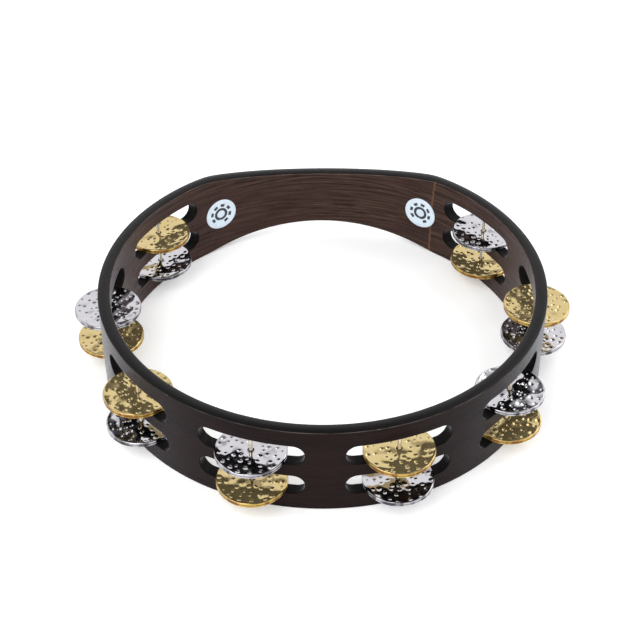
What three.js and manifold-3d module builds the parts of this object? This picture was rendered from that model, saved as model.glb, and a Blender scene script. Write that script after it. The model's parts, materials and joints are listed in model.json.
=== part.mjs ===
// A headless two-row tambourine: a bent wooden hoop with sixteen round-ended slots, eight steel
// pins driven up through both rows, and a facing pair of pressed metal jingles in every slot.
// Millimetres, +Z up. The origin is the middle of the whole footprint, jingles included, in the
// plane of the hoop's lower edge. The waisted grip is at +Y and the front of the hoop at -Y.

import * as THREE from 'three';
import { mergeVertices } from 'three/addons/utils/BufferGeometryUtils.js';
import Module from 'manifold-3d';

const wasm = await Module();
wasm.setup();

// Hoop
const HOOP_RADIUS = 127;
const HOOP_WALL = 7;
const HOOP_HEIGHT = 55;
const HOOP_EDGE = 1.5;
const HOOP_STEPS = 100;
const GRIP_WAIST = 9;
const GRIP_HALF_WIDTH = 71;

// Slots: eight places, one pitch apart, in two rows
const PLACES = 8;
const PLACE_PITCH = THREE.MathUtils.degToRad(36);
const ROW_PITCH = 21;
const SLOT_LENGTH = 58;
const SLOT_HEIGHT = 12.7;

// Pins
const PIN_RADIUS = 1.1;
const PIN_HEAD_RADIUS = 2;
const PIN_HEAD_THICKNESS = 0.8;
const PIN_POINT = 2;
const PIN_IN_TOP_WEB = 7;
const PIN_SIDES = 10;

// Jingles
const JINGLE_RADIUS = 19;
const JINGLE_HOLE_RADIUS = 1.9;
const JINGLE_DEPTH = 1.5;
const JINGLE_SHEET = 0.5;
const JINGLE_CROWN = 0.2;
const JINGLE_STEPS = 16;

// Labels on the inside of the grip
const LABEL_RADIUS = 10.5;
const LABEL_THICKNESS = 0.3;
const LABEL_HEIGHT = HOOP_HEIGHT / 2;
const LABEL_OFFSET = 63;

// Space kept between neighbouring pieces
const GAP = 0.3;

const WALL_CENTRE = HOOP_RADIUS - HOOP_WALL / 2;
const ROW_HEIGHTS = {
  lower: HOOP_HEIGHT / 2 - ROW_PITCH / 2,
  upper: HOOP_HEIGHT / 2 + ROW_PITCH / 2,
};
const UPPER_SLOT_TOP = ROW_HEIGHTS.upper + SLOT_HEIGHT / 2;
const FRONT_REACH = WALL_CENTRE * Math.cos(PLACE_PITCH / 2) + JINGLE_RADIUS;

const WOOD = { color: 0x2a1a14, roughness: 0.45, metalness: 0 };
const STEEL = { color: 0xb9b6ad, roughness: 0.3, metalness: 1 };
const BRASS = { color: 0xd2b36a, roughness: 0.28, metalness: 1 };
const NICKEL = { color: 0xcfcfd2, roughness: 0.25, metalness: 1 };
const LABEL = { color: 0xdfe9f0, roughness: 0.5, metalness: 0 };

function part(name, geometry, look) {
  const mesh = new THREE.Mesh(geometry, new THREE.MeshStandardMaterial(look));
  mesh.name = name;
  return mesh;
}

function toSolid(geometry) {
  const bare = geometry.clone();
  bare.deleteAttribute('normal');
  bare.deleteAttribute('uv');
  const merged = mergeVertices(bare, 1e-4);
  return new wasm.Manifold(new wasm.Mesh({
    numProp: 3,
    vertProperties: Float32Array.from(merged.attributes.position.array),
    triVerts: Uint32Array.from(merged.index.array),
  }));
}

function toGeometry(solid) {
  const mesh = solid.getMesh();
  const geometry = new THREE.BufferGeometry();
  geometry.setAttribute('position', new THREE.BufferAttribute(mesh.vertProperties, 3));
  geometry.setIndex(new THREE.BufferAttribute(mesh.triVerts, 1));
  geometry.computeVertexNormals();
  return geometry;
}

// A solid of revolution about Z from points given as [radius, height].
function turned(points, steps) {
  const profile = points.map(([radius, height]) => new THREE.Vector2(radius, height));
  const geometry = new THREE.LatheGeometry(profile, steps);
  geometry.rotateX(Math.PI / 2);
  return geometry;
}

// How far both edges of the hoop are drawn in, as a circular arc seen from the front.
function waist(x, y) {
  if (y < 0 || Math.abs(x) > GRIP_HALF_WIDTH) {
    return 0;
  }
  const arc = (GRIP_HALF_WIDTH ** 2 + GRIP_WAIST ** 2) / (2 * GRIP_WAIST);
  return Math.sqrt(arc ** 2 - x ** 2) - (arc - GRIP_WAIST);
}

// Places are counted from the back left round the front to the back right.
function placeAngle(place) {
  return (place - (PLACES + 1) / 2) * PLACE_PITCH;
}

// Turns something made at the front of the hoop round to a place.
function atPlace(geometry, place) {
  return geometry.rotateZ(placeAngle(place));
}

function hoopRing() {
  const inside = HOOP_RADIUS - HOOP_WALL;
  const ring = turned([
    [inside, HOOP_EDGE],
    [inside + HOOP_EDGE, 0],
    [HOOP_RADIUS - HOOP_EDGE, 0],
    [HOOP_RADIUS, HOOP_EDGE],
    [HOOP_RADIUS, HOOP_HEIGHT - HOOP_EDGE],
    [HOOP_RADIUS - HOOP_EDGE, HOOP_HEIGHT],
    [inside + HOOP_EDGE, HOOP_HEIGHT],
    [inside, HOOP_HEIGHT - HOOP_EDGE],
    [inside, HOOP_EDGE],
  ], HOOP_STEPS);
  const points = ring.attributes.position;
  for (let i = 0; i < points.count; i += 1) {
    const drawnIn = waist(points.getX(i), points.getY(i));
    const z = points.getZ(i);
    points.setZ(i, z > HOOP_HEIGHT / 2 ? z - drawnIn : z + drawnIn);
  }
  return ring;
}

function slotCutter(row, place) {
  const endRadius = SLOT_HEIGHT / 2;
  const reach = SLOT_LENGTH / 2 - endRadius;
  const outline = new THREE.Shape();
  outline.absarc(reach, 0, endRadius, -Math.PI / 2, Math.PI / 2);
  outline.absarc(-reach, 0, endRadius, Math.PI / 2, 3 * Math.PI / 2);
  const depth = 5 * HOOP_WALL;
  const cutter = new THREE.ExtrudeGeometry(outline, { depth, bevelEnabled: false, curveSegments: 6 });
  cutter.translate(0, 0, -depth / 2);
  cutter.rotateX(Math.PI / 2);
  cutter.translate(0, -WALL_CENTRE, ROW_HEIGHTS[row]);
  return atPlace(cutter, place);
}

function pinProfile(clearance) {
  const tip = UPPER_SLOT_TOP + PIN_IN_TOP_WEB + clearance;
  const headTop = GAP + PIN_HEAD_THICKNESS + clearance;
  const headBottom = GAP - 2 * clearance;
  return [
    [0, headBottom],
    [PIN_HEAD_RADIUS + clearance, headBottom],
    [PIN_HEAD_RADIUS + clearance, headTop],
    [PIN_RADIUS + clearance, headTop],
    [PIN_RADIUS + clearance, tip - PIN_POINT],
    [0, tip],
  ];
}

function pinAt(place, clearance) {
  const pin = turned(pinProfile(clearance), PIN_SIDES);
  pin.translate(0, -WALL_CENTRE, 0);
  return atPlace(pin, place);
}

function hoop() {
  let solid = toSolid(hoopRing());
  for (let place = 1; place <= PLACES; place += 1) {
    for (const row of Object.keys(ROW_HEIGHTS)) {
      solid = solid.subtract(toSolid(slotCutter(row, place)));
    }
    solid = solid.subtract(toSolid(pinAt(place, GAP)));
  }
  return toGeometry(solid);
}

// A shallow pressed cup with a turned-down rim, open side down, its rim at height 0.
function jingleCup() {
  const crown = JINGLE_DEPTH - JINGLE_CROWN;
  return turned([
    [JINGLE_HOLE_RADIUS, JINGLE_DEPTH - JINGLE_SHEET],
    [JINGLE_RADIUS - 1.9, crown - JINGLE_SHEET],
    [JINGLE_RADIUS - JINGLE_SHEET, 0],
    [JINGLE_RADIUS, 0],
    [JINGLE_RADIUS - 0.3, crown - JINGLE_SHEET],
    [JINGLE_RADIUS - 1.7, crown],
    [JINGLE_HOLE_RADIUS, JINGLE_DEPTH],
    [JINGLE_HOLE_RADIUS, JINGLE_DEPTH - JINGLE_SHEET],
  ], JINGLE_STEPS);
}

// Each pair lies on the bottom of its slot, open sides together.
function jinglePair(row, place) {
  const odd = place % 2 === 1;
  const look = odd === (row === 'upper') ? BRASS : NICKEL;
  const floor = ROW_HEIGHTS[row] - SLOT_HEIGHT / 2;
  const meeting = floor + GAP + JINGLE_DEPTH + GAP / 2;
  const bottom = part(`jingle_${place}_${row}_bottom`, jingleCup().rotateX(Math.PI), look);
  const top = part(`jingle_${place}_${row}_top`, jingleCup(), look);
  const pair = new THREE.Group();
  const angle = placeAngle(place);
  pair.position.set(WALL_CENTRE * Math.sin(angle), -WALL_CENTRE * Math.cos(angle), meeting);
  bottom.position.z = -GAP / 2;
  top.position.z = GAP / 2;
  pair.add(bottom, top);
  return pair;
}

// A round sticker that follows the curve of the inside wall.
function label(side) {
  const sticker = turned([
    [0, 0],
    [LABEL_RADIUS / 2, 0],
    [LABEL_RADIUS, 0],
    [LABEL_RADIUS, LABEL_THICKNESS],
    [LABEL_RADIUS / 2, LABEL_THICKNESS],
    [0, LABEL_THICKNESS],
  ], 20);
  sticker.rotateX(Math.PI / 2);
  const wall = HOOP_RADIUS - HOOP_WALL - GAP;
  const points = sticker.attributes.position;
  for (let i = 0; i < points.count; i += 1) {
    const radius = wall + points.getY(i);
    const turn = Math.asin(side * LABEL_OFFSET / wall) + points.getX(i) / wall;
    points.setXYZ(i, radius * Math.sin(turn), radius * Math.cos(turn), points.getZ(i) + LABEL_HEIGHT);
  }
  return sticker;
}

const tambourine = new THREE.Group();
tambourine.position.y = (FRONT_REACH - HOOP_RADIUS) / 2;
tambourine.add(part('hoop', hoop(), WOOD));
for (let place = 1; place <= PLACES; place += 1) {
  tambourine.add(part(`pin_${place}`, pinAt(place, 0), STEEL));
  for (const row of Object.keys(ROW_HEIGHTS)) {
    tambourine.add(jinglePair(row, place));
  }
}
tambourine.add(part('label_left', label(-1), LABEL));
tambourine.add(part('label_right', label(1), LABEL));

export default tambourine;
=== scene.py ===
# The looks of a headless two-row tambourine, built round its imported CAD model: a lacquered wooden
# hoop with rounded edges, hammered jingles, wire pins and two printed stickers. Metres, +Z up.

import math

import bpy
import numpy as np
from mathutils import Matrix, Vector, geometry
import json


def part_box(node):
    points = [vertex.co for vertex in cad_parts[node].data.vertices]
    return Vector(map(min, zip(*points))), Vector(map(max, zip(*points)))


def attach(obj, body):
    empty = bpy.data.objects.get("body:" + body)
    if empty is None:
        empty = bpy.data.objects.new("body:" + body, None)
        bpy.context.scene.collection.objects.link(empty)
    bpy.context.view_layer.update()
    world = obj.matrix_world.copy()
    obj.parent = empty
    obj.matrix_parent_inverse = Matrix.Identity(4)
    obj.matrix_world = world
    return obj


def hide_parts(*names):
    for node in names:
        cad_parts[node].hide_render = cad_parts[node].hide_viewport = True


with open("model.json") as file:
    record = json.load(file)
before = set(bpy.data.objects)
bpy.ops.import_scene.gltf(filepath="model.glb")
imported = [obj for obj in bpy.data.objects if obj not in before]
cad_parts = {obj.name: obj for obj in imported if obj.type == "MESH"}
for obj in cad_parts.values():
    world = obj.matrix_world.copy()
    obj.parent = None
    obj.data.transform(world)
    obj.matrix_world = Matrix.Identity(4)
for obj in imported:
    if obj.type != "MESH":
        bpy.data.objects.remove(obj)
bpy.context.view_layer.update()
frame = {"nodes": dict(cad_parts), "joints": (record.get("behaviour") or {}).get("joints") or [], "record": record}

MM = 0.001

# The view, round a point in the middle of the hoop
VIEW_AZIMUTH = math.radians(-0.58)
VIEW_ELEVATION = math.radians(39.4)
VIEW_DISTANCE = 0.8383
VIEW_TARGET = (-0.0015, 0.0006, 0.0273)
LENS = 81.68

# Hoop: its wall, the rounding of its edges, its waisted grip, its slots and the pins' recesses
WALL = 7 * MM
TOP_ROUND = 0.7 * MM
TOP_CROWN = math.radians(15)
BOTTOM_ROUND = 0.5 * MM
WAIST = 9 * MM
WAIST_HALF_WIDTH = 71 * MM
WAIST_SOFTNESS = 1 * MM
SLOT_LENGTH = 58 * MM
SLOT_HEIGHT = 12.7 * MM
SLOT_ROUND = 0.5 * MM
RECESS_RADIUS = 2.25 * MM
RECESS_DEPTH = 1.4 * MM

# The joint of the inner ply: its angle from the back of the hoop, how far it leans, and its width
JOINT_ANGLE = math.radians(35.4)
JOINT_LEAN = math.radians(0.9)
JOINT_WIDTH = 0.45 * MM

# The hoop's mesh: steps round it, between its edges, round a slot's end and along its straight
AROUND = 360
SPACING = 2.4 * MM
ROUND_STEPS = 20
STRAIGHT_STEPS = 16
RECESS_STEPS = 24
SEAM_STEPS = 16

# Jingles: a sheet with a hole, a dished face, and a rim bent down over this radius
JINGLE_SHEET = 0.5 * MM
JINGLE_HOLE = 1.8 * MM
JINGLE_BEND = 0.8 * MM
JINGLE_FLAT = 0.70
JINGLE_DISH = 0.4 * MM
JINGLE_AROUND = 176
JINGLE_STEP = 0.42 * MM
BEND_STEPS = 5
PIECE_GAP = 0.3 * MM

# The hammer's blows: share of the radius and count for each ring, how far they stray, their size
# (a radius) and their depth as a share of it
RINGS_OF_BLOWS = ((0.33, 9), (0.50, 12), (0.69, 14), (0.88, 18))
STRAY_ROUND = 0.28
STRAY_OUT = 0.035
BLOW_SIZES = (0.8 * MM, 1.35 * MM)
BLOW_DEPTHS = (0.28, 0.40)

# The uneven sheet: its shortest and longest ripple, each one's height as a share of its length, and
# how far the face lies below its rim's height between them
RIPPLE_COUNT = 8
RIPPLES = (6.5 * MM, 15.0 * MM)
RIPPLE_SHARE = 0.0066
RIPPLE_REST = 0.25 * MM

# Pins
PIN_SHAFT = 1.05 * MM
PIN_HEAD_THICKNESS = 0.8 * MM
PIN_TAPER = 2 * MM

# Stickers; the print's radii in millimetres
STICKER_THICKNESS = 0.15 * MM
STICKER_SECTORS = 72
PRINTED_RING = (2.7, 4.5)
PRINTED_DASHES = (5.4, 7.3)

hoop_low, hoop_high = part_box("hoop")
RADIUS = (hoop_high.x - hoop_low.x) / 2
INSIDE = RADIUS - WALL
HEIGHT = hoop_high.z - hoop_low.z
CENTRE_Y = (hoop_high.y + hoop_low.y) / 2
MIDDLE = RADIUS - WALL / 2


# ---------------------------------------------------------------- places, read from the joints

def slots():
    """One entry for each slot: its angle from the front, and the height of its middle."""
    found = []
    for joint in frame["joints"]:
        if joint["type"] == "hinge":
            x, y, _ = joint["pos_m"]
            low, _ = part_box(joint["child"])
            found.append({
                "angle": math.atan2(x, CENTRE_Y - y),
                "middle": low.z - PIECE_GAP + SLOT_HEIGHT / 2,
            })
    return found


SLOTS = slots()


def on_hoop(angle, radius, height):
    """A point by its angle from the front, its distance from the hoop's axis and its height."""
    return (radius * math.sin(angle), CENTRE_Y - radius * math.cos(angle), height)


def drawn_in(angle, radius):
    """How far each edge of the hoop is drawn in for the grip, with a softened corner."""
    x, y = radius * math.sin(angle), -radius * math.cos(angle)
    if y < 0:
        return 0.0
    arc = (WAIST_HALF_WIDTH ** 2 + WAIST ** 2) / (2 * WAIST)
    depth = math.sqrt(arc ** 2 - x ** 2) - (arc - WAIST)
    return (depth + math.sqrt(depth ** 2 + WAIST_SOFTNESS ** 2)) / 2


# ---------------------------------------------------------------- mesh making

class Skin:
    """Vertices, faces and per-vertex marks of one piece, collected part by part."""

    def __init__(self):
        self.points = []
        self.faces = []
        self.normals = []
        self.marks = {"edge": [], "slot": [], "wear": []}

    def add(self, points, normals=None, **marks):
        first = len(self.points)
        self.points.extend(points)
        self.normals.extend(normals or [(0.0, 0.0, 0.0)] * len(points))
        for name, values in self.marks.items():
            values.extend([marks.get(name, 0.0)] * len(points))
        return list(range(first, len(self.points)))

    def bridge(self, one, other, flip=False):
        """Quads between two closed loops of the same length."""
        count = len(one)
        for i in range(count):
            j = (i + 1) % count
            face = (one[i], one[j], other[j], other[i])
            self.faces.append(face[::-1] if flip else face)

    def lid(self, loop, flip=False):
        self.faces.append(tuple(loop[::-1]) if flip else tuple(loop))

    def mesh(self, name):
        mesh = bpy.data.meshes.new(name)
        mesh.from_pydata(self.points, [], self.faces)
        mesh.validate()
        mesh.shade_smooth()
        for mark, values in self.marks.items():
            if any(values):
                layer = mesh.attributes.new(mark, "FLOAT", "POINT")
                layer.data.foreach_set("value", values)
        if any(any(normal) for normal in self.normals):
            mesh.normals_split_custom_set_from_vertices(self.normals)
        return mesh


def new_object(name, mesh, *materials):
    piece = bpy.data.objects.new(name, mesh)
    bpy.context.scene.collection.objects.link(piece)
    for material in materials:
        mesh.materials.append(material)
    return piece


def triangles(flat, chains, keep):
    """Triangles over flat points that respect the chains, where keep(x, y) of their middle is true."""
    edges = [(a, b) for chain in chains for a, b in zip(chain, chain[1:])]
    points = [Vector(p) for p in flat]
    verts, _, faces, origin, _, _ = geometry.delaunay_2d_cdt(points, edges, [], 0, 1e-9)
    made = []
    for face in faces:
        x = sum(verts[i][0] for i in face) / 3
        y = sum(verts[i][1] for i in face) / 3
        if keep(x, y):
            made.append([origin[i][0] for i in face])
    return made


def fill(skin, flat, indices, chains, keep, flip):
    """Adds those triangles to a skin: flat point number n is the skin's vertex indices[n]."""
    for a, b, c in triangles(flat, chains, keep):
        face = (indices[a], indices[b], indices[c])
        if len(set(face)) == 3:
            skin.faces.append(face[::-1] if flip else face)


# ---------------------------------------------------------------- hoop

ANGLES = [-math.pi + 2 * math.pi * k / AROUND for k in range(AROUND)]


def slot_outline(grow):
    """A slot's outline as (along, up) from its middle, grown outwards by a distance."""
    end = SLOT_HEIGHT / 2 + grow
    reach = SLOT_LENGTH / 2 - SLOT_HEIGHT / 2
    outline = []
    for side in (1, -1):
        for k in range(ROUND_STEPS):
            turn = math.pi * k / ROUND_STEPS - side * math.pi / 2
            outline.append((side * reach + end * math.cos(turn), end * math.sin(turn)))
        for k in range(STRAIGHT_STEPS):
            outline.append((side * reach * (1 - 2 * k / STRAIGHT_STEPS), side * end))
    return outline


def slot_distance(along, up):
    """How far a point of the wall is outside a slot's outline."""
    reach = SLOT_LENGTH / 2 - SLOT_HEIGHT / 2
    return math.hypot(max(abs(along) - reach, 0.0), up) - SLOT_HEIGHT / 2


def slot_ring(slot, grow, radius):
    """A slot's outline in the hoop, at one distance from its axis."""
    return [
        on_hoop(slot["angle"] + math.asin(along / radius), radius, slot["middle"] + up)
        for along, up in slot_outline(grow)
    ]


def clear_of_slots(angle, radius, height, gap):
    """Whether a point of the wall is at least a gap away from every slot."""
    for slot in SLOTS:
        turn = angle - slot["angle"]
        if abs(turn) < math.pi / 8:
            if slot_distance(radius * math.sin(turn), height - slot["middle"]) < gap:
                return False
    return True


def edge_section(top):
    """An edge from the outside face over to the inside face, as (radius, drop, tilt outwards).

    The top is slightly crowned between its roundings; the lower edge is flat between them.
    """
    round_off, crown = (TOP_ROUND, TOP_CROWN) if top else (BOTTOM_ROUND, 0.0)
    steps, crown_steps = 6, 12 if top else 1
    tilts = [math.pi / 2 - (math.pi / 2 - crown) * k / steps for k in range(steps + 1)]
    half = WALL / 2 - round_off * (1 - math.sin(crown))
    rise = half * math.tan(crown / 2) if top else 0.0
    outer = []
    for tilt in tilts:
        out = half - round_off * math.sin(crown) + round_off * math.sin(tilt)
        outer.append((MIDDLE + out, rise + round_off * (math.cos(crown) - math.cos(tilt)), tilt))
    for k in range(1, crown_steps):
        tilt = crown * (1 - 2 * k / crown_steps)
        reach = math.sin(tilt) / math.sin(crown)
        outer.append((MIDDLE + half * reach, rise * (1 - math.cos(tilt)) / (1 - math.cos(crown)), tilt))
    inner = [(2 * MIDDLE - radius, drop, -tilt) for radius, drop, tilt in outer[steps::-1]]
    return outer + inner


TOP_SECTION = edge_section(True)
BOTTOM_SECTION = edge_section(False)


def edge_heights(angle, radius):
    """Where the flat of the wall ends, just inside the rounded edges."""
    inset = drawn_in(angle, radius)
    return inset + BOTTOM_SECTION[0][1], HEIGHT - inset - TOP_SECTION[0][1]


def wall(skin, radius, outward, low_loop, high_loop, slot_loops):
    """One face of the hoop's wall, between its two edges and round its slots."""
    flat, indices, chains = [], [], []

    def pin_down(index, along, up):
        flat.append((along, up))
        indices.append(index)
        return len(flat) - 1

    seam_low, seam_high = edge_heights(math.pi, radius)
    seam_heights = [seam_low + (seam_high - seam_low) * k / SEAM_STEPS for k in range(1, SEAM_STEPS)]
    seam = skin.add([on_hoop(math.pi, radius, height) for height in seam_heights],
                    [(0.0, outward, 0.0)] * len(seam_heights))
    for loop, pick in ((low_loop, 0), (high_loop, 1)):
        chain = [pin_down(loop[k], radius * ANGLES[k], edge_heights(ANGLES[k], radius)[pick])
                 for k in range(AROUND)]
        chain.append(pin_down(loop[0], radius * math.pi, edge_heights(math.pi, radius)[pick]))
        chains.append(chain)
    for turn in (-math.pi, math.pi):
        ends = [chains[0][0 if turn < 0 else -1], chains[1][0 if turn < 0 else -1]]
        middle = [pin_down(index, radius * turn, height) for index, height in zip(seam, seam_heights)]
        chains.append([ends[0], *middle, ends[1]])
    for slot, loop in zip(SLOTS, slot_loops):
        outline = slot_outline(SLOT_ROUND)
        chain = [pin_down(index, radius * (slot["angle"] + math.asin(along / radius)), slot["middle"] + up)
                 for index, (along, up) in zip(loop, outline)]
        chains.append(chain + chain[:1])

    rows = int(HEIGHT / SPACING)
    columns = int(2 * math.pi * radius / SPACING)
    for row in range(1, rows):
        height = HEIGHT * row / rows
        for column in range(1, columns):
            angle = -math.pi + 2 * math.pi * (column + 0.5 * (row % 2)) / columns
            low, high = edge_heights(angle, radius)
            inside = low + SPACING / 2 < height < high - SPACING / 2
            if inside and abs(angle) < math.pi - 0.01:
                if clear_of_slots(angle, radius, height, SPACING / 2 + SLOT_ROUND):
                    normal = (outward * math.sin(angle), -outward * math.cos(angle), 0.0)
                    index = skin.add([on_hoop(angle, radius, height)], [normal])[0]
                    pin_down(index, radius * angle, height)

    def keep(along, up):
        angle = along / radius
        low, high = edge_heights(angle, radius)
        return low < up < high and clear_of_slots(angle, radius, up, SLOT_ROUND)

    fill(skin, flat, indices, chains, keep, outward < 0)


def rim_loops(skin, top):
    """One edge of the hoop, as loops from the outside face over to the inside face."""
    loops = []
    for radius, drop, tilt in TOP_SECTION if top else BOTTOM_SECTION:
        points, normals = [], []
        for angle in ANGLES:
            inset = drawn_in(angle, radius) + drop
            points.append(on_hoop(angle, radius, HEIGHT - inset if top else inset))
            out, up = math.sin(tilt), math.cos(tilt) if top else -math.cos(tilt)
            normals.append((out * math.sin(angle), -out * math.cos(angle), up))
        # Edge mark: how far a face looks up; it sets the edges' near-black of dark end grain and painted shade
        edge = max(0.0, (math.cos(tilt) - 0.5) / 0.5)
        # Wear mark: a line at 50 degrees of tilt, worn bare wood with a painted highlight
        wear = max(0.0, 1 - abs(abs(tilt) - math.radians(50)) / math.radians(15))
        loops.append(skin.add(points, normals, edge=edge, wear=wear))
    return loops


def recessed_rim(skin, outer_loop, inner_loop):
    """The lower edge's flat, with a round recess for each pin's head."""
    places = sorted({round(slot["angle"], 6) for slot in SLOTS})
    flat, indices, chains = [], [], []
    for loop, radius in ((outer_loop, RADIUS - BOTTOM_ROUND), (inner_loop, INSIDE + BOTTOM_ROUND)):
        chain = []
        for k in range(AROUND + 1):
            flat.append((MIDDLE * (-math.pi + 2 * math.pi * k / AROUND), radius))
            indices.append(loop[k % AROUND])
            chain.append(len(flat) - 1)
        chains.append(chain)
    chains.append([chains[0][0], chains[1][0]])
    chains.append([chains[0][-1], chains[1][-1]])
    for place in places:
        turns = [2 * math.pi * k / RECESS_STEPS for k in range(RECESS_STEPS)]
        ring = [(RECESS_RADIUS * math.cos(turn), RECESS_RADIUS * math.sin(turn)) for turn in turns]
        # The recess's mouth takes the full edge mark: dark end grain and painted shade
        mouth = skin.add([on_hoop(place + u / MIDDLE, MIDDLE + v, 0.0) for u, v in ring],
                         [(0.0, 0.0, -1.0)] * RECESS_STEPS, edge=1.0)
        # The recess floor is darkened with painted shade
        floor = skin.add([on_hoop(place + u / MIDDLE, MIDDLE + v, RECESS_DEPTH) for u, v in ring], slot=1.0)
        skin.bridge(mouth, floor)
        skin.lid(floor)
        chain = []
        for index, (u, v) in zip(mouth, ring):
            flat.append((MIDDLE * place + u, MIDDLE + v))
            indices.append(index)
            chain.append(len(flat) - 1)
        chains.append(chain + chain[:1])

    def keep(along, radius):
        for place in places:
            if math.hypot(along - MIDDLE * place, radius - MIDDLE) < RECESS_RADIUS * 0.98:
                return False
        return True

    fill(skin, flat, indices, chains, keep, False)


def hoop_mesh():
    """The whole hoop. The faces of its two edges take the second material."""
    skin = Skin()
    top = rim_loops(skin, True)
    bottom = rim_loops(skin, False)
    for loops, flip in ((top, False), (bottom, True)):
        flat_step = len(loops) // 2 - 1
        for k, (one, other) in enumerate(zip(loops, loops[1:])):
            if flip and k == flat_step:
                recessed_rim(skin, one, other)
            else:
                skin.bridge(one, other, flip)
    edge_faces = len(skin.faces)

    outer_loops, inner_loops = [], []
    turns, through = 4, 4
    for slot in SLOTS:
        rings = []
        for k in range(turns + 1):
            turn = math.pi / 2 * k / turns
            grow, sunk = SLOT_ROUND * (1 - math.sin(turn)), SLOT_ROUND * (1 - math.cos(turn))
            # The third value darkens the slot's tunnel with painted shade
            rings.append((grow, RADIUS - sunk, min(1.0, k / 2)))
        for k in range(1, through):
            rings.append((0.0, RADIUS - SLOT_ROUND - (WALL - 2 * SLOT_ROUND) * k / through, 1.0))
        rings += [(grow, RADIUS + INSIDE - radius, painted_shade) for grow, radius, painted_shade in rings[turns::-1]]
        loops = []
        for number, (grow, radius, painted_shade) in enumerate(rings):
            normals = None
            if number in (0, len(rings) - 1):
                side = 1 if number == 0 else -1
                normals = []
                for along, _ in slot_outline(grow):
                    angle = slot["angle"] + math.asin(along / radius)
                    normals.append((side * math.sin(angle), -side * math.cos(angle), 0.0))
            loops.append(skin.add(slot_ring(slot, grow, radius), normals, slot=painted_shade))
        for one, other in zip(loops, loops[1:]):
            skin.bridge(one, other)
        outer_loops.append(loops[0])
        inner_loops.append(loops[-1])

    wall(skin, RADIUS, 1.0, bottom[0], top[0], outer_loops)
    wall(skin, INSIDE, -1.0, bottom[-1], top[-1], inner_loops)
    mesh = skin.mesh("hoop_wood")
    for polygon in mesh.polygons[:edge_faces]:
        polygon.material_index = 1
    return mesh


# ---------------------------------------------------------------- jingles

def blows(random, radius):
    """The hammer's marks on one jingle: middle, size and depth of each."""
    marks = []
    for share, count in RINGS_OF_BLOWS:
        start = random.uniform(0, 2 * math.pi)
        for k in range(count):
            turn = start + 2 * math.pi * (k + random.uniform(-STRAY_ROUND, STRAY_ROUND)) / count
            reach = radius * (share + random.uniform(-STRAY_OUT, STRAY_OUT))
            size = random.uniform(*BLOW_SIZES)
            deep = random.uniform(*BLOW_DEPTHS) * size
            marks.append((reach * math.cos(turn), reach * math.sin(turn), size, deep))
    return marks


def jingle_profile(radius, depth):
    """The sheet's section as (distance from the axis, height, share of the hammering, band)."""
    flat_end = radius - JINGLE_BEND
    steps = int((flat_end - JINGLE_HOLE) / JINGLE_STEP)
    stations = [JINGLE_HOLE + (flat_end - JINGLE_HOLE) * k / steps for k in range(steps + 1)]

    def crown(r):
        beyond = max(0.0, r / flat_end - JINGLE_FLAT) / (1 - JINGLE_FLAT)
        return depth - JINGLE_DISH * (1 - beyond ** 2 * (2 - beyond))

    outer = [(r, crown(r), 1.0, 0.0) for r in stations]
    inner = [(r, crown(r) - JINGLE_SHEET, 1.0, 0.0) for r in stations]
    shoulder = crown(flat_end)
    inner_bend = JINGLE_BEND - JINGLE_SHEET
    for k in range(1, BEND_STEPS + 1):
        turn = math.pi / 2 * k / BEND_STEPS
        share = 1 - k / BEND_STEPS
        drop = 1 - math.cos(turn)
        outer.append((flat_end + JINGLE_BEND * math.sin(turn), shoulder - JINGLE_BEND * drop,
                      share, 1 - share))
        inner.append((flat_end + inner_bend * math.sin(turn),
                      shoulder - JINGLE_SHEET - inner_bend * drop, share, 1 - share))
    lip = JINGLE_SHEET / 5
    outer += [(radius, lip, 0.0, 1.0), (radius - lip, 0.0, 0.0, 1.0)]
    inner += [(radius - JINGLE_SHEET, lip, 0.0, 1.0), (radius - JINGLE_SHEET + lip, 0.0, 0.0, 1.0)]
    hole_lip = JINGLE_SHEET / 4
    outer[0] = (JINGLE_HOLE + hole_lip, outer[0][1], 0.5, 0.0)
    inner[0] = (JINGLE_HOLE + hole_lip, inner[0][1], 0.5, 0.0)
    hole = [(JINGLE_HOLE, inner[0][1] + hole_lip, 0.5, 0.5),
            (JINGLE_HOLE, outer[0][1] - hole_lip, 0.5, 0.5)]
    return outer + inner[::-1] + hole


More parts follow.
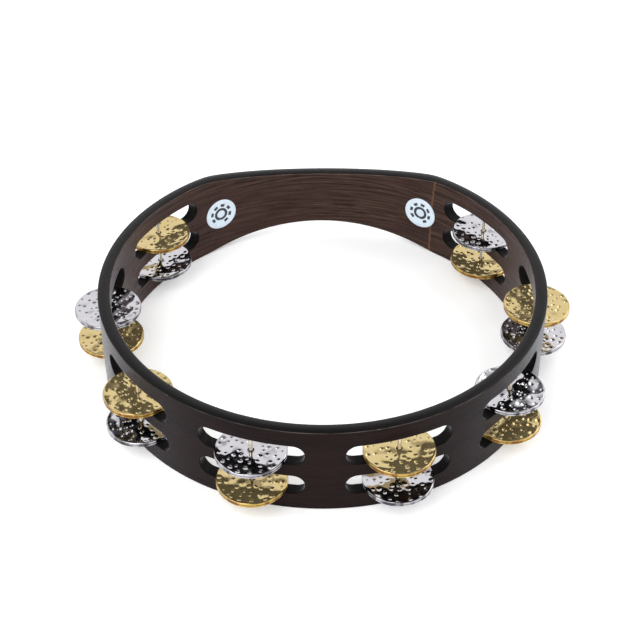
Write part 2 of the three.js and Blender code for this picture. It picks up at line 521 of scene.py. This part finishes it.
def jingle_mesh(name, low, high, crown_up, random):
    """One pressed and hammered disc that fills its CAD node's box."""
    radius = (high.x - low.x) / 2
    depth = high.z - low.z
    profile = np.array(jingle_profile(radius, depth))
    turns = 2 * np.pi * np.arange(JINGLE_AROUND) / JINGLE_AROUND
    across = profile[:, 0:1] * np.cos(turns)
    along = profile[:, 0:1] * np.sin(turns)
    dent = np.zeros_like(across)
    for x, y, size, deep in blows(random, radius):
        cap = 1 - ((across - x) ** 2 + (along - y) ** 2) / size ** 2
        dent += deep * (cap + np.sqrt(cap ** 2 + 0.02)) / 2 * np.exp(-np.clip(-cap, 0, None))
    for length in np.linspace(*RIPPLES, RIPPLE_COUNT):
        heading, phase = random.uniform(0, 2 * np.pi, 2)
        travel = across * math.cos(heading) + along * math.sin(heading)
        dent += RIPPLE_SHARE * length * np.sin(2 * np.pi * travel / length + phase)
    dent += RIPPLE_REST
    height = np.clip(profile[:, 1:2] - dent * profile[:, 2:3], 0, depth)
    points = np.stack([across, along, height], axis=2)
    if not crown_up:
        points[:, :, 1:] *= -1
    points += np.array([(low.x + high.x) / 2, (low.y + high.y) / 2, low.z if crown_up else high.z])

    rows = len(profile)
    index = np.arange(rows * JINGLE_AROUND).reshape(rows, JINGLE_AROUND)
    below, beside = np.roll(index, -1, axis=0), np.roll(index, -1, axis=1)
    corner = np.roll(below, -1, axis=1)
    quads = np.stack([index, below, corner, beside], axis=2).reshape(-1, 4)
    mesh = bpy.data.meshes.new(name)
    mesh.from_pydata(points.reshape(-1, 3).tolist(), [], quads.tolist())
    mesh.shade_smooth()
    # band: where the turned-down band takes its painted reflections
    band = mesh.attributes.new("band", "FLOAT", "POINT")
    band.data.foreach_set("value", np.repeat(profile[:, 3], JINGLE_AROUND))
    return mesh


# ---------------------------------------------------------------- pins and stickers

def turned_mesh(name, profile, x, y, steps):
    """A solid of revolution about an upright axis, from (radius, height) points off the axis."""
    skin = Skin()
    loops = []
    for radius, height in profile:
        turns = [2 * math.pi * k / steps for k in range(steps)]
        loops.append(skin.add([(x + radius * math.cos(t), y + radius * math.sin(t), height) for t in turns]))
    for one, other in zip(loops, loops[1:]):
        skin.bridge(one, other)
    skin.lid(loops[0], True)
    skin.lid(loops[-1])
    return skin.mesh(name)


def pin_mesh(name, node):
    """A wire nail with its head down: the edges of the head are eased by a small lip."""
    low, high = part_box(node)
    head, shaft, lip = (high.x - low.x) / 2, PIN_SHAFT, 0.12 * MM
    under = low.z + PIN_HEAD_THICKNESS
    profile = [
        (head - 3 * lip, low.z), (head - lip, low.z + lip / 2), (head, low.z + 2 * lip),
        (head, under - lip), (head - lip, under), (shaft + lip, under), (shaft, under + lip),
        (shaft, high.z - PIN_TAPER), (0.1 * MM, high.z),
    ]
    return turned_mesh(name, profile, (low.x + high.x) / 2, (low.y + high.y) / 2, 24)


def sticker_mesh(name, node):
    """A round sticker on the inside wall, printed with a ring and short dashes like jingles.

    The faces of the print take the second material.
    """
    low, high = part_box(node)
    middle = math.atan2((low.x + high.x) / 2, CENTRE_Y - (low.y + high.y) / 2)
    height, radius = (low.z + high.z) / 2, (high.z - low.z) / 2
    section = [(reach * MM, STICKER_THICKNESS) for reach in (1.3, *PRINTED_RING, *PRINTED_DASHES, 9.0)]
    section += [(radius - STICKER_THICKNESS / 2, STICKER_THICKNESS), (radius, STICKER_THICKNESS / 2),
                (radius, 0.0)]
    skin = Skin()
    loops = []
    for reach, rise in section:
        points = []
        for k in range(STICKER_SECTORS):
            turn = 2 * math.pi * k / STICKER_SECTORS
            angle = middle + reach * math.cos(turn) / INSIDE
            points.append(on_hoop(angle, INSIDE - rise, height + reach * math.sin(turn)))
        loops.append(skin.add(points))
    for one, other in zip(loops, loops[1:]):
        skin.bridge(one, other)
    skin.lid(loops[0], True)
    skin.lid(loops[-1])
    mesh = skin.mesh(name)
    for band in range(len(loops) - 1):
        for sector in range(STICKER_SECTORS):
            inked = band == 1 or (band == 3 and sector % 9 < 5)
            mesh.polygons[band * STICKER_SECTORS + sector].material_index = int(inked)
    return mesh


# ---------------------------------------------------------------- materials

class Nodes:
    """A short way to build one material's nodes."""

    def __init__(self, name):
        self.material = bpy.data.materials.new(name)
        self.material.use_nodes = True
        self.tree = self.material.node_tree
        self.shader = self.tree.nodes["Principled BSDF"]

    def add(self, kind, inputs=None, **settings):
        node = self.tree.nodes.new(kind)
        for key, value in settings.items():
            setattr(node, key, value)
        for key, value in (inputs or {}).items():
            self.set(node, key, value)
        return node

    def set(self, node, key, value):
        if isinstance(value, bpy.types.NodeSocket):
            self.tree.links.new(value, node.inputs[key])
        else:
            node.inputs[key].default_value = value

    def math(self, operation, a, b=0.0, clamp=False):
        return self.add("ShaderNodeMath", {0: a, 1: b}, operation=operation, use_clamp=clamp).outputs[0]

    def mark(self, name):
        return self.add("ShaderNodeAttribute", attribute_name=name).outputs["Fac"]

    def noise(self, vector, scale, detail=2.0, roughness=0.5):
        node = self.add("ShaderNodeTexNoise", {"Vector": vector, "Scale": scale, "Detail": detail,
                                               "Roughness": roughness})
        return node.outputs["Fac"]

    def stretch(self, vector, scale):
        return self.add("ShaderNodeMapping", {"Vector": vector, "Scale": scale}).outputs["Vector"]

    def range(self, value, low, high, to_low=0.0, to_high=1.0):
        node = self.add("ShaderNodeMapRange", {"Value": value, "From Min": low, "From Max": high,
                                               "To Min": to_low, "To Max": to_high})
        return node.outputs["Result"]

    def mix(self, share, a, b):
        node = self.add("ShaderNodeMix", data_type="RGBA")
        for socket, value in ((node.inputs[0], share), (node.inputs[6], a), (node.inputs[7], b)):
            if isinstance(value, bpy.types.NodeSocket):
                self.tree.links.new(value, socket)
            else:
                socket.default_value = value
        return node.outputs[2]

    def bump(self, height, strength, distance, normal=None):
        inputs = {"Height": height, "Strength": strength, "Distance": distance}
        if normal is not None:
            inputs["Normal"] = normal
        return self.add("ShaderNodeBump", inputs).outputs["Normal"]

    def finish(self, **inputs):
        for key, value in inputs.items():
            self.set(self.shader, key.replace("_", " "), value)
        return self.material


def around_hoop(n):
    """Coordinates that follow the hoop: length round it, height, and depth in the wall.

    The length starts and ends at the joint of the inner ply, which leans as it rises.
    """
    place = n.add("ShaderNodeTexCoord").outputs["Object"]
    height = n.add("ShaderNodeSeparateXYZ", {"Vector": place}).outputs["Z"]
    rise = n.math("POWER", n.math("DIVIDE", height, HEIGHT, clamp=True), 4.0)
    lean = n.math("MULTIPLY", rise, JOINT_LEAN)
    turned = n.add("ShaderNodeVectorRotate", {
        "Vector": place, "Center": (0.0, CENTRE_Y, 0.0), "Angle": n.math("ADD", lean, JOINT_ANGLE + math.pi),
    }, rotation_type="Z_AXIS").outputs["Vector"]
    apart = n.add("ShaderNodeSeparateXYZ", {"Vector": turned}).outputs
    y = n.math("SUBTRACT", apart["Y"], CENTRE_Y)
    length = n.math("MULTIPLY", n.math("ARCTAN2", apart["X"], y), RADIUS)
    squares = n.math("ADD", n.math("MULTIPLY", apart["X"], apart["X"]), n.math("MULTIPLY", y, y))
    depth = n.math("SQRT", squares)
    where = n.add("ShaderNodeCombineXYZ", {"X": length, "Y": height, "Z": depth}).outputs["Vector"]
    return where, length, depth


# The wood's colours: dark and light grain and broader patches on each side of the wall, the inside's set painted
# lighter as painted light, then the rest
# The inside's colours are the outside's wood painted lighter: painted light on the inner face
INNER_LIT_DARK, INNER_LIT_LIGHT = (0.016, 0.0085, 0.0075, 1), (0.078, 0.046, 0.035, 1)
INNER_LIT_PATCH = (0.044, 0.023, 0.020, 1)
OUTER_DARK, OUTER_LIGHT = (0.0040, 0.0024, 0.0025, 1), (0.0140, 0.0066, 0.0056, 1)
OUTER_PATCH = (0.015, 0.0072, 0.0058, 1)
PORE = (0.009, 0.006, 0.0055, 1)
JOINT_PALE = (0.17, 0.085, 0.045, 1)
# Edges' tops: dark end grain, darkened further with painted shade where they face up
EDGE_DARK_GRAIN_AND_SHADE = (0.0030, 0.0028, 0.0031, 1)
# Slots' tunnels and pin recesses: painted shade
SLOT_SHADE = (0.0048, 0.0046, 0.0046, 1)
# A pale line along the roundings: worn bare wood with a painted highlight
WORN_AND_HIGHLIGHT = (0.26, 0.22, 0.20, 1)


def wood_material(name, gloss):
    """Stained and lacquered plywood, with grain that runs round the hoop, edges rubbed bare with a painted
    highlight on them, edge tops of dark end grain with painted shade, slots darkened with painted shade, and the
    inside painted lighter as painted light.
    """
    n = Nodes(name)
    where, length, depth = around_hoop(n)
    wander = n.noise(n.stretch(where, (12.0, 60.0, 60.0)), 1.0, 2.0)
    bent = n.add("ShaderNodeVectorMath", {0: where, 1: n.add("ShaderNodeCombineXYZ", {
        "Y": n.math("MULTIPLY", wander, 0.004)}).outputs["Vector"]}, operation="ADD").outputs["Vector"]
    broad = n.noise(n.stretch(where, (8.0, 70.0, 90.0)), 1.0, 2.0)
    grain = n.noise(n.stretch(bent, (32.0, 760.0, 500.0)), 1.0, 4.0, 0.65)
    pores = n.noise(n.stretch(bent, (110.0, 4200.0, 1500.0)), 1.0, 2.0, 0.6)
    inside = n.range(depth, MIDDLE + 1 * MM, MIDDLE - 1 * MM)

    streaks = n.range(grain, 0.36, 0.64)
    inner = n.mix(streaks, INNER_LIT_DARK, INNER_LIT_LIGHT)
    inner = n.mix(n.range(broad, 0.4, 0.62, 0.0, 0.6), inner, INNER_LIT_PATCH)
    outer = n.mix(streaks, OUTER_DARK, OUTER_LIGHT)
    outer = n.mix(n.range(broad, 0.4, 0.62, 0.0, 0.5), outer, OUTER_PATCH)
    # The inside face takes the lighter set: the same wood painted lighter as painted light
    colour = n.mix(inside, outer, inner)
    colour = n.mix(n.range(pores, 0.56, 0.72, 0.0, 0.45), colour, PORE)

    half_way = math.pi * RADIUS
    near_joint = n.range(n.math("ABSOLUTE", length), half_way - 2 * JOINT_WIDTH, half_way - JOINT_WIDTH)
    joint = n.math("MULTIPLY", near_joint, inside)
    patchy = n.range(n.noise(where, 300.0, 2.0), 0.3, 0.6, 0.15, 0.7)
    colour = n.mix(n.math("MULTIPLY", joint, patchy), colour, JOINT_PALE)

    # Edges' tops near-black: dark end grain and painted shade
    colour = n.mix(n.math("MULTIPLY", n.mark("edge"), 0.93), colour, EDGE_DARK_GRAIN_AND_SHADE)
    # Slots and pin recesses darkened: painted shade
    colour = n.mix(n.math("MULTIPLY", n.mark("slot"), 0.93), colour, SLOT_SHADE)
    # Pale line along the roundings, broken by noise: worn bare wood and a painted highlight
    rubbed = n.noise(n.stretch(where, (90.0, 500.0, 500.0)), 1.0, 3.0)
    chips = n.range(n.noise(where, 210.0, 1.0), 0.70, 0.73, 0.0, 0.9)
    rubbed = n.math("MAXIMUM", n.range(rubbed, 0.38, 0.6, 0.1, 0.6), chips)
    worn_and_highlight = n.math("MULTIPLY", n.mark("wear"), rubbed, clamp=True)
    colour = n.mix(worn_and_highlight, colour, WORN_AND_HIGHLIGHT)

    rough = n.range(n.noise(where, 140.0, 3.0), 0.3, 0.7, 0.24, 0.36)
    normal = n.bump(pores, 0.3, 0.00012, n.bump(grain, 0.2, 0.0002))
    return n.finish(Base_Color=colour, Roughness=rough, Normal=normal, Specular_IOR_Level=gloss,
                    Sheen_Weight=0.42, Sheen_Roughness=0.33, Sheen_Tint=(0.85, 0.9, 1.0, 1))


def metal_material(name, base, deep, band, rough, metallic):
    """Polished sheet clouded with a deeper tone, its turned-down band painted with dark and light streaks as
    painted reflections.
    """
    n = Nodes(name)
    place = n.add("ShaderNodeTexCoord").outputs["Object"]
    cloud = n.noise(place, 160.0, 3.0)
    specks = n.noise(place, 900.0, 2.0)
    colour = n.mix(n.range(cloud, 0.45, 0.8, 0.0, 0.35), base, deep)
    streaks = n.range(n.noise(n.stretch(place, (1.0, 1.0, 0.4)), 240.0, 2.0), 0.42, 0.58)
    # The turned-down band: dark and light streaks painted as reflections
    colour = n.mix(n.mark("band"), colour, n.mix(streaks, band, deep))
    roughness = n.range(n.noise(place, 420.0, 4.0, 0.7), 0.35, 0.75, rough, rough + 0.08)
    normal = n.bump(specks, 0.06, 0.00006)
    return n.finish(Base_Color=colour, Metallic=metallic, Roughness=roughness, Normal=normal)


def sticker_material():
    n = Nodes("sticker_face")
    place = n.add("ShaderNodeTexCoord").outputs["Object"]
    mottle = n.noise(place, 260.0, 3.0)
    colour = n.mix(n.range(mottle, 0.3, 0.7), (0.60, 0.70, 0.80, 1), (0.66, 0.76, 0.84, 1))
    rough = n.range(mottle, 0.3, 0.7, 0.38, 0.5)
    return n.finish(Base_Color=colour, Roughness=rough, Normal=n.bump(mottle, 0.1, 0.00005))


def ink_material():
    n = Nodes("sticker_ink")
    place = n.add("ShaderNodeTexCoord").outputs["Object"]
    mottle = n.noise(place, 500.0, 3.0)
    colour = n.mix(mottle, (0.008, 0.012, 0.02, 1), (0.025, 0.03, 0.045, 1))
    return n.finish(Base_Color=colour, Roughness=n.range(mottle, 0.3, 0.7, 0.35, 0.5))


def floor_material():
    n = Nodes("pale_floor")
    place = n.add("ShaderNodeTexCoord").outputs["Object"]
    mottle = n.noise(place, 8.0, 3.0)
    colour = n.mix(mottle, (0.93, 0.93, 0.93, 1), (0.95, 0.95, 0.95, 1))
    return n.finish(Base_Color=colour, Roughness=0.9, Emission_Color=colour, Emission_Strength=0.25)


# ---------------------------------------------------------------- building

def put(piece, body, slot, *nodes):
    """Rides a piece on a body and hides the CAD nodes that it replaces. The slot is not used."""
    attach(piece, body)
    if nodes:
        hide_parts(*nodes)
    return piece


def build_object():
    wood, edge = wood_material("lacquered_wood", 0.03), wood_material("lacquered_edge", 0.10)
    # Each metal's third colour darkens its turned-down band with painted reflections
    brass = metal_material("hammered_brass", (0.58, 0.46, 0.225, 1), (0.50, 0.33, 0.08, 1),
                           (0.24, 0.11, 0.02, 1), 0.08, 0.84)
    nickel = metal_material("hammered_nickel", (0.52, 0.51, 0.54, 1), (0.44, 0.43, 0.46, 1),
                            (0.07, 0.07, 0.08, 1), 0.06, 1.0)
    wire = metal_material("pin_wire", (0.62, 0.57, 0.45, 1), (0.50, 0.44, 0.32, 1),
                          (0.50, 0.44, 0.32, 1), 0.22, 1.0)

    put(new_object("hoop_wood", hoop_mesh(), wood, edge), "hoop", "wood", "hoop")

    slot_of = {row["node"]: row["material_slot"] for row in frame["record"]["subparts"]}
    metals = {"brass": brass, "nickel": nickel}
    random = np.random.default_rng(7)
    for node in sorted(frame["nodes"]):
        if node.startswith("jingle_"):
            low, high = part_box(node)
            name = node.replace("jingle_", "hammered_")
            mesh = jingle_mesh(name, low, high, node.endswith("_top"), random)
            put(new_object(name, mesh, metals[slot_of[node]]), node, slot_of[node], node)
        if node.startswith("pin_"):
            name = node.replace("pin_", "nail_")
            put(new_object(name, pin_mesh(name, node), wire), "hoop", "pin_steel", node)

    face, ink = sticker_material(), ink_material()
    for side in ("left", "right"):
        name = f"sticker_{side}"
        disc = new_object(name, sticker_mesh(name, f"label_{side}"), face, ink)
        put(disc, "hoop", "label", f"label_{side}")


# Strength of the light all round, by how steeply upward it is looked for: darker overhead
SKY = {"From Min": 0.70, "From Max": 0.86, "To Min": 1.3, "To Max": 0.35}

# Disc lamps aimed at the middle: name, place, diameter, power
LAMPS = (("key", (-0.5, -0.6, 1.1), 0.9, 7.0), ("fill", (0.8, 0.4, 0.9), 0.9, 4.0))


def build_stage():
    size = 6.0
    corners = [(-size, -size, 0), (size, -size, 0), (size, size, 0), (-size, size, 0)]
    floor_mesh = bpy.data.meshes.new("floor")
    floor_mesh.from_pydata(corners, [], [(0, 1, 2, 3)])
    floor = new_object("floor", floor_mesh, floor_material())
    floor.location.z = -0.2 * MM

    world = bpy.data.worlds.new("studio")
    world.use_nodes = True
    nodes, links = world.node_tree.nodes, world.node_tree.links
    nodes["Background"].inputs["Color"].default_value = (1.0, 1.0, 1.0, 1)
    upward = nodes.new("ShaderNodeSeparateXYZ")
    links.new(nodes.new("ShaderNodeTexCoord").outputs["Generated"], upward.inputs[0])
    overhead = nodes.new("ShaderNodeMapRange")
    for name, value in SKY.items():
        overhead.inputs[name].default_value = value
    links.new(upward.outputs["Z"], overhead.inputs["Value"])
    links.new(overhead.outputs["Result"], nodes["Background"].inputs["Strength"])
    bpy.context.scene.world = world

    for name, place, diameter, power in LAMPS:
        light = bpy.data.lights.new(name, "AREA")
        light.shape = "DISK"
        light.size = diameter
        light.energy = power
        lamp = bpy.data.objects.new(name, light)
        lamp.location = place
        lamp.rotation_euler = (-Vector(place)).to_track_quat("-Z", "Y").to_euler()
        bpy.context.scene.collection.objects.link(lamp)


def build_camera():
    data = bpy.data.cameras.new("camera")
    data.lens = LENS
    data.sensor_width = 36.0
    data.clip_start = 0.01
    camera = bpy.data.objects.new("camera", data)
    back = Vector((math.sin(VIEW_AZIMUTH) * math.cos(VIEW_ELEVATION),
                   -math.cos(VIEW_AZIMUTH) * math.cos(VIEW_ELEVATION),
                   math.sin(VIEW_ELEVATION)))
    camera.location = Vector(VIEW_TARGET) + VIEW_DISTANCE * back
    camera.rotation_euler = (-back).to_track_quat("-Z", "Y").to_euler()
    bpy.context.scene.collection.objects.link(camera)
    bpy.context.scene.camera = camera


build_camera()
build_object()
build_stage()
bpy.context.scene.view_settings.view_transform = "Standard"
